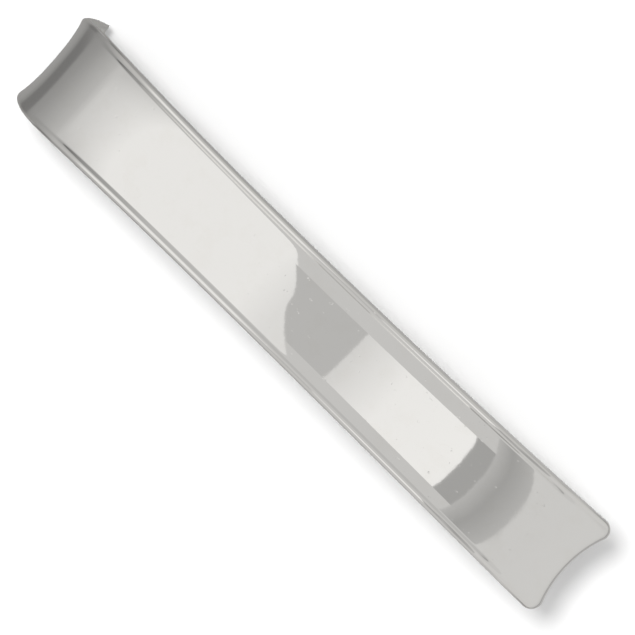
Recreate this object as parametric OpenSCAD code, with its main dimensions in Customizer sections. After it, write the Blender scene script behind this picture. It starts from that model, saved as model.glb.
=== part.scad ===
// Slim money clip. A dished, mirror-finished bar rolls over at one end into a hood that covers
// a sprung hinge, and closes on a flat back arm. Folded notes are held between bar and arm.
// Millimetres. +X runs from the hinge to the tips, +Z is up through the bar's bright face,
// and the origin lies on the surface that the arm rests on.

/* [Bar] */
// Length of the bar over its corners
bar_length = 57; // [54:0.5:64]
// Width of the bar at its waist
waist_width = 8.25; // [7.8:0.05:9]
// How much each edge spreads towards the hood
hood_flare = 0.35; // [0:0.05:0.5]
// How much each edge spreads towards the free end
tip_flare = 0.50; // [0:0.05:0.8]
// Thickness of the bar's sheet
sheet_t = 0.8; // [0.7:0.05:0.9]
// How far the dished face rises from its centre line to its edges
dish_depth = 0.45; // [0.2:0.05:0.6]
// Height of the raised rim along each edge
rim_height = 0.16; // [0.05:0.01:0.2]
// Width of the raised rim
rim_width = 0.62; // [0.5:0.02:0.8]
// How deeply the free end is hollowed between its corners
end_hollow = 0.62; // [0.3:0.02:0.8]

/* [Bar profile] */
// Radius of the hood's outer face
hood_r = 2.5; // [2.4:0.05:2.7]
// Angle that the hood has turned through at its free edge, from straight up
hood_wrap = 150; // [140:1:158]
// Radius of the shoulder between hood and bar
shoulder_r = 12; // [9:0.5:14]
// Slope of the face where the hood meets the shoulder
shoulder_angle = 20; // [15:1:24]
// Slope of the face at each end of the long bowed stretch
bow_angle = 5; // [3:0.5:6]
// Radius of the curl at the free end
tip_r = 20; // [16:1:26]
// Slope of the face at the free end
tip_angle = 16; // [10:1:18]

/* [Back arm] */
// Thickness of the arm's strip
arm_t = 0.7; // [0.5:0.05:0.8]
// Width of the arm's strip
arm_width = 6.4; // [5.8:0.1:6.8]
// Distance from the bar's centre to the nose, where the arm meets the bar
nose_x = 19; // [17:0.5:20]
// Slope of the arm as it climbs to the nose
rise_angle = 28; // [24:1:32]
// Slope of the lead-in past the nose
kick_angle = 35; // [25:1:40]
// Length of the straight lead-in
kick_length = 3.2; // [2:0.2:3.6]
// Gap left at the nose, about one banknote
note_gap = 0.12; // [0.1:0.01:0.2]
// Height of each gripping rib
rib_height = 0.14; // [0.1:0.01:0.18]

/* [Hinge] */
// Height of the hinge pin over the resting surface
hinge_z = 3.35; // [3.3:0.05:3.6]
// Diameter of the hinge pin
pin_d = 1; // [0.9:0.05:1.1]
// Thickness of the ears on the arm and the bracket
ear_t = 0.6; // [0.5:0.05:0.6]
// Diameter of the spring wire
wire_d = 0.6; // [0.5:0.05:0.6]

/* [Hidden] */
$fn = 48;

// Bar section and plan
dish_power = 2.6;                 // above 2 keeps the floor flat and turns the sides up
rim_blend = 0.16;                 // width of the step up on to the rim
face_rise = dish_depth + rim_height;
waist_x = -7;
end_corner_r = 1.1;
corner_start = 0.77;              // share of the half width where the end's corners begin
warp_length = 6;                  // stretch over which the free end takes its hollowed line
hood_turn_in = 0.44;              // how far each edge turns in on the way round the hood
hood_spread = 0.54;               // how far it stands out again at the hood's free edge
hood_skew = 0.04;                 // the hood is rolled this much out of square
skew_fade = 6;
min_edge = 0.35;                  // share of the sheet's thickness left at the two ends

// Hinge stack across the clip, from its middle outwards
sleeve_half = 1.70;
arm_ear_y = 1.75;
bracket_ear_y = 2.45;
bracket_half = bracket_ear_y + ear_t;
pin_r = pin_d / 2;
pin_fit = 0.04;                   // radial running clearance in the arm's ears
sleeve_r = 0.8;
ear_r = 1.35;
head_r = 0.85;
head_h = 0.35;

// The bar's long profile is a chain of arcs that all bend the same way. Each row is the
// outer face's radius, then the slope of the face where the arc starts and ends.
hinge_x = -bar_length / 2 + face_rise + hood_r;
end_x = bar_length / 2 - face_rise * sin(tip_angle);
bow_run = end_x - hinge_x + hood_r * sin(shoulder_angle)
          - shoulder_r * (sin(shoulder_angle) - sin(bow_angle))
          - tip_r * (sin(tip_angle) - sin(bow_angle));
bow_r = bow_run / (2 * sin(bow_angle));
hinge = [hinge_x, hinge_z];
bar_arcs = [[hood_r, hood_wrap, shoulder_angle],
            [shoulder_r, shoulder_angle, bow_angle],
            [bow_r, bow_angle, -bow_angle],
            [tip_r, -bow_angle, -tip_angle]];
function normal_at(slope) = [-sin(slope), cos(slope)];
function arc_length(arc) = arc[0] * (arc[1] - arc[2]) * PI / 180;
function arc_centre(i) =
    i == 0 ? hinge : arc_centre(i - 1) + (bar_arcs[i - 1][0] - bar_arcs[i][0]) * normal_at(bar_arcs[i][1]);
// The point on the face's centre line at a distance from the hood's free edge, and the slope there
function bar_at(s, i = 0) =
    let (arc = bar_arcs[i])
    (i < len(bar_arcs) - 1 && s > arc_length(arc))
        ? bar_at(s - arc_length(arc), i + 1)
        : let (slope = arc[1] - s / arc[0] * 180 / PI)
          [arc_centre(i) + arc[0] * normal_at(slope), slope];
face_length = arc_length(bar_arcs[0]) + arc_length(bar_arcs[1])
              + arc_length(bar_arcs[2]) + arc_length(bar_arcs[3]);
function smooth(u) = let (v = max(0, min(1, u))) v * v * (3 - 2 * v);

// Half width at a place on the bar, given as its point and slope
function plan_half(x) =
    waist_width / 2 + (x < waist_x
        ? hood_flare * pow((waist_x - x) / (waist_x - hinge_x), 2)
        : tip_flare * pow((x - waist_x) / (bar_length / 2 - waist_x), 2));
function half_width(at) =
    plan_half(max(hinge_x, at[0][0])) - hood_turn_in * (1 - cos(max(0, min(90, at[1]))))
    + hood_spread * max(0, at[1] - 90) / (hood_wrap - 90);

// The free end's line across the bar: hollow in the middle, round at the corners
function end_line(q) =
    q < corner_start
        ? -end_hollow * (1 - pow(q / corner_start, 2))
        : -end_corner_r * (1 - sqrt(max(0, 1 - pow((q - corner_start) / (1 - corner_start), 2))));
function round_edge(d, r) = d >= r ? 1 : sqrt(max(0, 1 - pow(1 - max(0, d) / r, 2)));

// One point of the bar's skin: s along it, q from -1 to 1 across it, face is 1 outside or -1 inside
function bar_point(s, q, face) =
    let (a = abs(q),
         share = max(0, (s - face_length + warp_length) / warp_length),
         at = bar_at(s + share * end_line(a)),
         half = half_width(at),
         from_edge = (1 - a) * half,
         from_end = min(s, face_length - s),
         full = round_edge(from_edge, sheet_t / 2) * max(min_edge, round_edge(from_end, sheet_t / 2)),
         rim = rim_height * smooth((rim_width + rim_blend / 2 - from_edge) / rim_blend),
         lift = dish_depth * pow(a, dish_power) - sheet_t / 2
                + full * (face * sheet_t / 2 + (face > 0 ? rim : 0)),
         n = normal_at(at[1]),
         x = at[0][0] + lift * n[0],
         y = q * half,
         z = at[0][1] + lift * n[1])
    [x - hood_skew * y * smooth((hinge_x + skew_fade - x) / skew_fade), y, z];

across = 26;
hood_steps = 13;
bar_steps = 30;
edge_rows = [0, 0.08, 0.22, 0.4];
hood_length = arc_length(bar_arcs[0]);
bar_rows = concat(edge_rows,
    [for (i = [1 : hood_steps]) edge_rows[3] + (hood_length - edge_rows[3]) * i / hood_steps],
    [for (i = [1 : bar_steps]) hood_length + (face_length - edge_rows[3] - hood_length) * i / bar_steps],
    [for (i = [2 : -1 : 0]) face_length - edge_rows[i]]);

// Closes a list of equal rings into a solid. Rings run the same way round; caps are fans or ladders.
module skin(rings, ladder_caps = false) {
    n = len(rings[0]);
    m = len(rings);
    sides = [for (i = [0 : m - 2], j = [0 : n - 1]) let (k = (j + 1) % n)
             each [[i * n + j, i * n + k, (i + 1) * n + k], [i * n + j, (i + 1) * n + k, (i + 1) * n + j]]];
    start = ladder_caps
        ? [for (j = [0 : n / 2 - 1]) let (a = j, b = j + 1, c = (n - j - 1) % n, d = (n - j) % n)
           each (d == a ? [[c, b, a]] : b == c ? [[d, b, a]] : [[d, c, b], [d, b, a]])]
        : [[for (j = [n - 1 : -1 : 0]) j]];
    last = (m - 1) * n;
    finish = [for (f = start) [for (j = [len(f) - 1 : -1 : 0]) f[j] + last]];
    polyhedron(points = [for (r = rings) each r], faces = concat(sides, start, finish), convexity = 10);
}

module front_bar() {
    across_q = [for (j = [0 : across]) -cos(180 * j / across)];
    rings = [for (s = bar_rows)
        concat([for (j = [0 : across]) bar_point(s, across_q[j], 1)],
               [for (j = [across - 1 : -1 : 1]) bar_point(s, across_q[j], -1)])];
    color("silver") skin(rings, ladder_caps = true);
}

// Extrudes an outline drawn in X and Z from y_low to y_high
module across_y(y_low, y_high) {
    translate([0, y_high, 0]) rotate([90, 0, 0]) linear_extrude(y_high - y_low) children();
}

module along_y(r, y_low, y_high, at = hinge) {
    translate([at[0], y_high, at[1]]) rotate([90, 0, 0]) cylinder(r = r, h = y_high - y_low);
}

// Outline with each corner rounded to its own radius
function rounded(points, radii, steps = 5) =
    [for (i = [0 : len(points) - 1])
     let (n = len(points), b = points[i], u = unit(points[(i + n - 1) % n] - b),
          v = unit(points[(i + 1) % n] - b), half = acos(u * v) / 2, r = radii[i],
          c = b + unit(u + v) * r / sin(half), from = b + u * r / tan(half) - c,
          to = b + v * r / tan(half) - c, turn = 180 - 2 * half,
          way = sign(from[0] * to[1] - from[1] * to[0]))
     each (r == 0 ? [b] : [for (k = [0 : steps]) let (a = way * turn * k / steps)
         c + [from[0] * cos(a) - from[1] * sin(a), from[0] * sin(a) + from[1] * cos(a)]])];
function unit(v) = v / norm(v);

// Underside of the bar's bowed stretch on its centre line
function bar_under(x) =
    let (c = arc_centre(2)) c[1] + sqrt(pow(bow_r - sheet_t, 2) - pow(x - c[0], 2));

// Bracket: a base soldered under the bar, and two ears that grip the pin
base_from = hinge_x + 2.7;
base_to = hinge_x + 7.7;
base_t = 0.6;
upper_hole = hinge + [4.6, 1.0];
lower_hole = hinge + [4.4, -0.75];
hook_fit = 0.05;
base_left = [base_from, bar_under(base_from)];
base_right = [base_to, bar_under(base_to)];
base_tilt = atan2(base_right[1] - base_left[1], base_to - base_from);

module bracket_ear() {
    translate(hinge) circle(r = ear_r);
    polygon(rounded([hinge + [-0.95, 0.96], base_left + [-0.3, -base_t / 2], base_left, base_right,
                     [base_to, hinge_z + 1.2], hinge + [4.9, 0.2], hinge + [0.52, -1.246]],
                    [0, 0, 0, 0, 0.5, 2, 0]));
}

module hinge_bracket() {
    color("gainsboro") difference() {
        union() {
            across_y(-bracket_half, -bracket_ear_y) bracket_ear();
            across_y(bracket_ear_y, bracket_half) bracket_ear();
            across_y(-bracket_half, bracket_half)
                polygon([base_left, base_right, base_right - [0, base_t], base_left - [0, base_t]]);
        }
        along_y(pin_r, -bracket_half - 1, bracket_half + 1);
        along_y(wire_d / 2 + hook_fit, 0, bracket_half + 1, upper_hole);
    }
}

// Solder drawn into the wedge between the flat base and the bar's rounded underside
fillet_out = 0.38;
fillet_drop = 0.34;
fillet_in = 1.4;
function under_lift(y) = dish_depth * pow(y / plan_half(base_from), dish_power);

module solder_fillets() {
    outline = concat([[fillet_in, 0], [bracket_half, 0], [bracket_half, -fillet_drop],
                      [bracket_half + fillet_out / 3, -fillet_drop / 3]],
                     [for (i = [6 : -1 : 0])
                      let (y = fillet_in + (bracket_half + fillet_out - fillet_in) * i / 6)
                      [y, under_lift(y)]]);
    color("lightgray") for (side = [0, 1])
        translate([base_left[0], 0, base_left[1]]) rotate([0, -base_tilt, 0]) mirror([0, side, 0])
            rotate([90, 0, 90]) linear_extrude(base_to - base_from) polygon(outline);
}

module hinge_pin() {
    dome_r = (head_r * head_r + head_h * head_h) / (2 * head_h);
    color("silver") union() {
        along_y(pin_r, -bracket_half, bracket_half + head_h + 0.12);
        translate([hinge_x, -bracket_half, hinge_z]) rotate([90, 0, 0])
            rotate_extrude() intersection() {
                translate([0, head_h - dome_r]) circle(r = dome_r, $fn = 96);
                square([head_r, head_h]);
            }
    }
}

module pin_collar() {
    color("silver") difference() {
        along_y(head_r, bracket_half, bracket_half + head_h);
        along_y(pin_r, bracket_half - 1, bracket_half + 1);
    }
}

module spring_sleeve() {
    color("goldenrod") difference() {
        along_y(sleeve_r, -sleeve_half, sleeve_half);
        along_y(pin_r + 0.03, -sleeve_half - 1, sleeve_half + 1);
    }
}

// Back arm: its long profile is a walk of straights [0, length] and bends [radius, turn]
rise_r = 8;
nose_r = 3;
// The ears drop from the pin to the strip behind the path of the hood's free edge
ear_back = 3.5;
ear_foot = 7.6;
arm_start = hinge_x + ear_back;
nose_z = bar_under(nose_x) - note_gap - rib_height - arm_t / 2;
climb = (nose_z - arm_t / 2 - (rise_r + nose_r) * (1 - cos(rise_angle))) / sin(rise_angle);
belly = nose_x - arm_start - (rise_r + nose_r) * sin(rise_angle) - climb * cos(rise_angle);
arm_moves = [[0, belly], [rise_r, rise_angle], [0, climb],
             [nose_r, -(rise_angle + kick_angle)], [0, kick_length]];
bend_step = 5;
function turn_from(p, r, turn) =
    let (side = sign(turn) * r, c = [p[0], p[1]] + side * normal_at(p[2]), h = p[2] + turn,
         e = c - side * normal_at(h)) [e[0], e[1], h];
function go_on(p, length) = [p[0] + length * cos(p[2]), p[1] + length * sin(p[2]), p[2]];
function walk(p, moves, i = 0) =
    i == len(moves) ? [p]
    : let (m = moves[i], steps = ceil(abs(m[1]) / bend_step),
           along = m[0] == 0 ? [go_on(p, m[1])]
                             : [for (k = [1 : steps]) turn_from(p, m[0], m[1] * k / steps)],
           rest = walk(along[len(along) - 1], moves, i + 1))
      concat([p], [for (k = [0 : 1 : len(along) - 2]) along[k]], rest);
arm_line = walk([arm_start, arm_t / 2, 0], arm_moves);
arm_tip = arm_line[len(arm_line) - 1];
function offset_from(p, d) = [p[0], p[1]] + d * normal_at(p[2]);

module arm_profile() {
    polygon(concat([for (p = arm_line) offset_from(p, arm_t / 2)],
                   [for (i = [len(arm_line) - 1 : -1 : 0]) offset_from(arm_line[i], -arm_t / 2)]));
}

module arm_ear() {
    translate(hinge) circle(r = ear_r);
    polygon(rounded([hinge + [0.29, 1.318], hinge + [5.5, 0.187], [hinge_x + ear_foot - 0.6, arm_t],
                     [hinge_x + ear_foot, arm_t], [hinge_x + ear_foot, 0.1], [hinge_x + ear_back, 0.1],
                     hinge + [ear_back, -ear_r], hinge - [0, ear_r]],
                    [0, 1, 0.8, 0, 0, 0, 0.9, 0]));
}

rib_count = 9;
rib_pitch = 0.68;
rib_r = 0.22;
nose_top = walk([arm_start, arm_t / 2, 0], [for (i = [0 : 2]) arm_moves[i]]);
nose_foot = nose_top[len(nose_top) - 1];
// Ribs sit round the nose, and then back down the slope
function rib_place(i) =
    let (angle = rise_angle - (rib_pitch * i) / (nose_r + arm_t / 2) * 180 / PI)
    i >= 0 ? turn_from(nose_foot, nose_r, angle - rise_angle) : go_on(nose_foot, rib_pitch * i);

module back_arm() {
    neck_half = arm_ear_y + ear_t;
    neck_to = hinge_x + ear_foot;
    shoulder = 1.6;
    round_x = arm_tip[0] - arm_width / 2;
    color("silver") difference() {
        union() {
            intersection() {
                across_y(-arm_width / 2, arm_width / 2) arm_profile();
                translate([0, 0, -1]) linear_extrude(bar_length) union() {
                    polygon(rounded([[arm_start - 1, -neck_half], [neck_to, -neck_half],
                                     [neck_to + shoulder, -arm_width / 2], [round_x, -arm_width / 2],
                                     [round_x, arm_width / 2], [neck_to + shoulder, arm_width / 2],
                                     [neck_to, neck_half], [arm_start - 1, neck_half]],
                                    [0, 1.5, 1.5, 0, 0, 1.5, 1.5, 0]));
                    translate([round_x, 0]) circle(r = arm_width / 2, $fn = 96);
                }
            }
            for (low = [-neck_half, arm_ear_y]) across_y(low, low + ear_t) arm_ear();
            for (i = [-5 : rib_count - 6])
                along_y(rib_r, -arm_width / 2 + 0.6, arm_width / 2 - 0.6,
                        offset_from(rib_place(i), arm_t / 2 + rib_height - rib_r));
        }
        along_y(pin_r + pin_fit, -bracket_half, bracket_half);
        along_y(wire_d / 2 + hook_fit, -bracket_half, 0, lower_hole);
    }
}

// Torsion spring: each leg leaves the coil on a tangent and ends in a hook along Y
coil_r = 1.15;
coil_half = 1.35;
hook_bend = 0.6;
lower_hook_end = -2.6;
upper_hook_end = 3.2;
wire_sides = 8;
whole_turns = 4;
coil_steps = 70;
function polar(a) = [cos(a), sin(a)];
function angle_of(v) = atan2(v[1], v[0]);
lower_off = lower_hole - hinge;
upper_off = upper_hole - hinge;
coil_from = angle_of(lower_off) + acos(coil_r / norm(lower_off));
coil_to = angle_of(upper_off) - acos(coil_r / norm(upper_off)) + 360 * whole_turns;
// A hook and its leg, from the hook's end to the coil, as points with a side direction each
function hook(hole, coil_angle, y_coil, y_end) =
    let (t = hinge + coil_r * polar(coil_angle), u = (t - hole) / norm(t - hole),
         out = sign(y_end - y_coil), side = polar(coil_angle),
         bend = [for (a = [0 : 22.5 : 90])
                 let (p = hole + u * hook_bend * (1 - cos(a)), y = y_coil + out * hook_bend * (1 - sin(a)))
                 [p[0], y, p[1]]],
         points = concat([[hole[0], y_end, hole[1]]], bend))
    [for (p = points) [p, [side[0], 0, side[1]]]];
lower_leg = hook(lower_hole, coil_from, -coil_half, lower_hook_end);
upper_leg = hook(upper_hole, coil_to, coil_half, upper_hook_end);
coil = [for (i = [0 : coil_steps])
        let (a = coil_from + (coil_to - coil_from) * i / coil_steps, p = hinge + coil_r * polar(a))
        [[p[0], coil_half * (2 * i / coil_steps - 1), p[1]], [cos(a), 0, sin(a)]]];
wire = concat(lower_leg, coil, [for (i = [len(upper_leg) - 1 : -1 : 0]) upper_leg[i]]);

module torsion_spring() {
    last = len(wire) - 1;
    rings = [for (i = [0 : last])
        let (run = wire[min(last, i + 1)][0] - wire[max(0, i - 1)][0], t = run / norm(run),
             side = wire[i][1], up = cross(t, side), lift = up / norm(up))
        [for (k = [0 : wire_sides - 1])
         let (a = -360 * k / wire_sides) wire[i][0] + wire_d / 2 * (cos(a) * side + sin(a) * lift)]];
    color("dimgray") skin(rings);
}

front_bar();
hinge_bracket();
solder_fillets();
hinge_pin();
pin_collar();
back_arm();
spring_sleeve();
torsion_spring();
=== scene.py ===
"""Looks for a slim sprung money clip: a dished, mirror-finished bar rolled over a hinge, and its arm.

Lengths in this file are millimetres, worked in the frame of the solids, and made metres by MM as each
mesh is finished. The bar and the arm start as blanks: flat closed sheets whose x is the distance along
the metal, y its share of the half width and z the face, +1 outside and -1 inside. A geometry tree then
dishes, rims and rolls each blank.
"""

import math

import bmesh
import bpy
from mathutils import Matrix, Vector


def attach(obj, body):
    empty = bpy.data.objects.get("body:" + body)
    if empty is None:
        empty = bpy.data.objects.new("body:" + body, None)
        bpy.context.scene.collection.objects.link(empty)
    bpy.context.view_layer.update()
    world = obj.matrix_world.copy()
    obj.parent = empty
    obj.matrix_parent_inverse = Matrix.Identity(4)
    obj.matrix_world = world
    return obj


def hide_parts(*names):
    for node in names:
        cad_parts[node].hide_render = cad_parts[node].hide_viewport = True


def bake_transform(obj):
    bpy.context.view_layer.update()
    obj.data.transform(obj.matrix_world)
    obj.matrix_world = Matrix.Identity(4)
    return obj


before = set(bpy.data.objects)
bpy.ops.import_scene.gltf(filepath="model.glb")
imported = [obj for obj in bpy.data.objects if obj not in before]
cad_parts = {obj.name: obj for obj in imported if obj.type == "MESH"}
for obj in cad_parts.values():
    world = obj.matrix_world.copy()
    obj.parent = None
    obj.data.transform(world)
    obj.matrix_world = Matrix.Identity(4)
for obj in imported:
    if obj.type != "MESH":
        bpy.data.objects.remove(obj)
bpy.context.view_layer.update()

MM = 0.001
SAME_POINT = 0.0001


# ---------------------------------------------------------------- node trees as expressions

class Wire:
    """A socket in a tree. Arithmetic on it adds Math nodes."""

    def __init__(self, net, socket):
        self.net, self.socket = net, socket

    def maths(self, operation, *terms):
        return self.net.maths(operation, *terms)

    def __add__(self, other):
        return self.maths("ADD", self, other)

    def __sub__(self, other):
        return self.maths("SUBTRACT", self, other)

    def __rsub__(self, other):
        return self.maths("SUBTRACT", other, self)

    def __mul__(self, other):
        return self.maths("MULTIPLY", self, other)

    def __truediv__(self, other):
        return self.maths("DIVIDE", self, other)

    def __rtruediv__(self, other):
        return self.maths("DIVIDE", other, self)

    def __pow__(self, other):
        return self.maths("POWER", self, other)

    def __neg__(self):
        return self * -1

    def __abs__(self):
        return self.maths("ABSOLUTE", self)

    __radd__ = __add__
    __rmul__ = __mul__


def is_wire(v):
    return isinstance(v, Wire)


def either(operation, plain, a, b):
    """One operation on two values, in the tree if either is a wire and in Python otherwise."""
    wire = a if is_wire(a) else b
    return wire.maths(operation, a, b) if is_wire(wire) else plain(a, b)


def least(a, b):
    return either("MINIMUM", min, a, b)


def most(a, b):
    return either("MAXIMUM", max, a, b)


def between(v, low, high):
    return least(most(v, low), high)


def sine(v):
    return v.maths("SINE", v) if is_wire(v) else math.sin(v)


def cosine(v):
    return v.maths("COSINE", v) if is_wire(v) else math.cos(v)


def root(v):
    return v.maths("SQRT", most(v, 0)) if is_wire(v) else math.sqrt(max(v, 0))


def smooth(v):
    v = between(v, 0, 1)
    return v * v * (3 - 2 * v)


def rounding(distance, radius):
    """Share of the full thickness at a distance in from a rounded edge."""
    short = 1 - between(distance / radius, 0, 1)
    return root(1 - short * short)


class Net:
    """Builds one node tree."""

    def __init__(self, tree):
        self.tree = tree

    def add(self, kind, settings=None, out=0, **links):
        """A node of one kind: its settings, then values or wires for its sockets, by name or as s0, s1."""
        node = self.tree.nodes.new(kind)
        for key, value in (settings or {}).items():
            if key == "stops":
                stops = node.color_ramp.elements
                while len(stops) < len(value):
                    stops.new(0.5)
                for stop, (place, grey) in zip(stops, value):
                    stop.position = place
                    stop.color = (grey, grey, grey, 1)
            else:
                setattr(node, key, value)
        for key, value in links.items():
            numbered = key[0] == "s" and key[1:].isdigit()
            socket = node.inputs[int(key[1:]) if numbered else key.replace("_", " ")]
            if is_wire(value):
                self.tree.links.new(value.socket, socket)
            else:
                socket.default_value = value
        return Wire(self, node.outputs[out])

    def maths(self, operation, *terms):
        sockets = {f"s{i}": term for i, term in enumerate(terms)}
        return self.add("ShaderNodeMath", {"operation": operation}, **sockets)

    def end(self, kind, name, wire):
        """Ends the tree with an output node of one kind."""
        output = self.tree.nodes.new(kind)
        self.tree.links.new(wire.socket, output.inputs[name])

    def other(self, wire, name):
        """Another output of the node that a wire comes from."""
        return Wire(self, wire.socket.node.outputs[name])


# ---------------------------------------------------------------- sizes, as in the solids

BAR_LENGTH, WAIST_WIDTH, WAIST_X = 57, 8.25, -7
HOOD_FLARE, TIP_FLARE = 0.35, 0.50
SHEET_T, DISH_DEPTH, DISH_POWER = 0.8, 0.45, 2.6
RIM_HEIGHT, RIM_WIDTH, RIM_BLEND = 0.16, 0.62, 0.30
RIM_FROM, RIM_TO, HOOD_FADE, TIP_FADE = 5.4, 3.4, 6.5, 3.0
RIM_STEPS_END = RIM_WIDTH + 0.18
END_HOLLOW, END_CORNER_R, CORNER_START, WARP_LENGTH = 0.62, 1.1, 0.77, 6
HOOD_R, HOOD_WRAP, SHOULDER_R, SHOULDER_ANGLE = 2.5, 150, 12, 20
BOW_ANGLE, TIP_R, TIP_ANGLE = 5, 20, 16
HOOD_TURN_IN, HOOD_SPREAD, HOOD_SKEW, SKEW_FADE = 0.44, 0.54, 0.04, 6
FACE_RISE = DISH_DEPTH + RIM_HEIGHT
HINGE_Z = 3.35
HINGE_X = -BAR_LENGTH / 2 + FACE_RISE + HOOD_R
PIN_R, SLEEVE_R, SLEEVE_HALF = 0.5, 0.8, 1.70
HEAD_R, HEAD_H = 0.85, 0.35
ARM_EAR_Y, BRACKET_EAR_Y, EAR_T, EAR_R = 1.75, 2.45, 0.6, 1.35
BRACKET_HALF = BRACKET_EAR_Y + EAR_T
WIRE_R = 0.3
PRESS_GAP = 0.002
ARM_T, ARM_WIDTH, NOSE_X, RISE_ANGLE, KICK_ANGLE, KICK_LENGTH = 0.7, 6.4, 19, 28, 35, 3.2
RISE_R, NOSE_R, NOTE_GAP, RIB_HEIGHT, RIB_R = 8, 3, 0.12, 0.14, 0.22
EAR_BACK, EAR_FOOT, SHOULDER, ARM_WARP = 3.5, 7.6, 1.6, 10
ARM_EDGE_R, BEND_R = 0.14, 0.55
RIB_COUNT, FIRST_RIB, RIB_PITCH, RIB_INSET, RIB_WEAR = 9, -5, 0.68, 0.6, 0.05


def sin_d(a):
    return math.sin(math.radians(a))


def cos_d(a):
    return math.cos(math.radians(a))


def follow(s, x, z, heading, moves):
    """Walks a profile made of straights and bends, each (length, degrees of turn).
    s may be a number or a wire. Returns x, z and the heading there, in radians."""
    h, done = math.radians(heading), 0
    at_x, at_z, at_h = x, z, h
    for length, turn in moves:
        along = between(s - done, 0, length)
        if turn:
            r = length / math.radians(turn)
            now = along / r + h
            at_x = at_x + (sine(now) - math.sin(h)) * r
            at_z = at_z + (math.cos(h) - cosine(now)) * r
            at_h = at_h + along / r
            h += math.radians(turn)
        else:
            at_x = at_x + along * math.cos(h)
            at_z = at_z + along * math.sin(h)
        done += length
    return at_x, at_z, at_h


def arc(radius, turn):
    return radius * math.radians(abs(turn)), turn


# The bar's outer face, from the hood's free edge to the tip
bar_run = (BAR_LENGTH / 2 - FACE_RISE * sin_d(TIP_ANGLE) - HINGE_X + HOOD_R * sin_d(SHOULDER_ANGLE)
           - SHOULDER_R * (sin_d(SHOULDER_ANGLE) - sin_d(BOW_ANGLE))
           - TIP_R * (sin_d(TIP_ANGLE) - sin_d(BOW_ANGLE)))
BOW_R = bar_run / (2 * sin_d(BOW_ANGLE))
BAR_MOVES = [arc(HOOD_R, SHOULDER_ANGLE - HOOD_WRAP), arc(SHOULDER_R, BOW_ANGLE - SHOULDER_ANGLE),
             arc(BOW_R, -2 * BOW_ANGLE), arc(TIP_R, BOW_ANGLE - TIP_ANGLE)]
BAR_START = (HINGE_X - HOOD_R * sin_d(HOOD_WRAP), HINGE_Z + HOOD_R * cos_d(HOOD_WRAP), HOOD_WRAP)
FACE_LENGTH = sum(length for length, _ in BAR_MOVES)

# Centre of the bow, and the underside above it
bow_x, bow_z, bow_h = follow(BAR_MOVES[0][0] + BAR_MOVES[1][0], *BAR_START, BAR_MOVES)
BOW_CENTRE = (bow_x + BOW_R * math.sin(bow_h), bow_z - BOW_R * math.cos(bow_h))


def bar_under(x):
    return BOW_CENTRE[1] + math.sqrt((BOW_R - SHEET_T) ** 2 - (x - BOW_CENTRE[0]) ** 2)


# The arm's centre line, from behind the ears to the tip
ARM_START = HINGE_X + EAR_BACK
nose_z = bar_under(NOSE_X) - NOTE_GAP - RIB_HEIGHT - ARM_T / 2
climb = (nose_z - ARM_T / 2 - (RISE_R + NOSE_R) * (1 - cos_d(RISE_ANGLE))) / sin_d(RISE_ANGLE)
belly = NOSE_X - ARM_START - (RISE_R + NOSE_R) * sin_d(RISE_ANGLE) - climb * cos_d(RISE_ANGLE)
ARM_MOVES = [(belly, 0), arc(RISE_R, RISE_ANGLE), (climb, 0), arc(NOSE_R, -RISE_ANGLE - KICK_ANGLE),
             (KICK_LENGTH, 0)]
ARM_LENGTH = sum(length for length, _ in ARM_MOVES)
ARM_LINE = (ARM_START, ARM_T / 2, 0)


# ---------------------------------------------------------------- mesh helpers

def to_object(name, mesh):
    obj = bpy.data.objects.new(name, mesh)
    bpy.context.scene.collection.objects.link(obj)
    return obj


def mesh_from(name, points, faces, scale=MM):
    mesh = bpy.data.meshes.new(name)
    mesh.from_pydata([Vector(p) * scale for p in points], [], faces)
    mesh.update()
    return mesh


def outward(mesh):
    bm = bmesh.new()
    bm.from_mesh(mesh)
    bmesh.ops.remove_doubles(bm, verts=bm.verts, dist=SAME_POINT * MM)
    bmesh.ops.recalc_face_normals(bm, faces=bm.faces)
    bm.to_mesh(mesh)
    bm.free()
    return mesh


def shade(obj, angle=40):
    """Smooth shading, kept crisp at edges sharper than an angle."""
    obj.data.shade_smooth()
    obj.data.set_sharp_from_angle(angle=math.radians(angle))


def joined(name, meshes):
    bm = bmesh.new()
    for mesh in meshes:
        bm.from_mesh(mesh)
    whole = bpy.data.meshes.new(name)
    bm.to_mesh(whole)
    bm.free()
    return whole


def spaced(low, high, step):
    count = max(1, round((high - low) / step))
    return [low + (high - low) * i / count for i in range(count + 1)]


def eased(radius, count=6):
    """Distances in from an edge of that radius, closer together near the edge."""
    return [radius * (1 - math.cos(math.pi / 2 * i / count)) for i in range(count + 1)]


def blank(name, along, across):
    """A closed flat sheet: outside grid, and an inside grid that shares its outline."""
    m, n = len(along), len(across)
    points = [(s, q, 1) for s in along for q in across]
    under = {}
    for i in range(m):
        for j in range(n):
            if 0 < i < m - 1 and 0 < j < n - 1:
                under[i, j] = len(points)
                points.append((along[i], across[j], -1))
            else:
                under[i, j] = i * n + j
    faces = []
    for i in range(m - 1):
        for j in range(n - 1):
            faces.append((i * n + j, (i + 1) * n + j, (i + 1) * n + j + 1, i * n + j + 1))
            faces.append((under[i, j], under[i, j + 1], under[i + 1, j + 1], under[i + 1, j]))
    return to_object(name, mesh_from(name, points, faces, scale=1))


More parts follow.
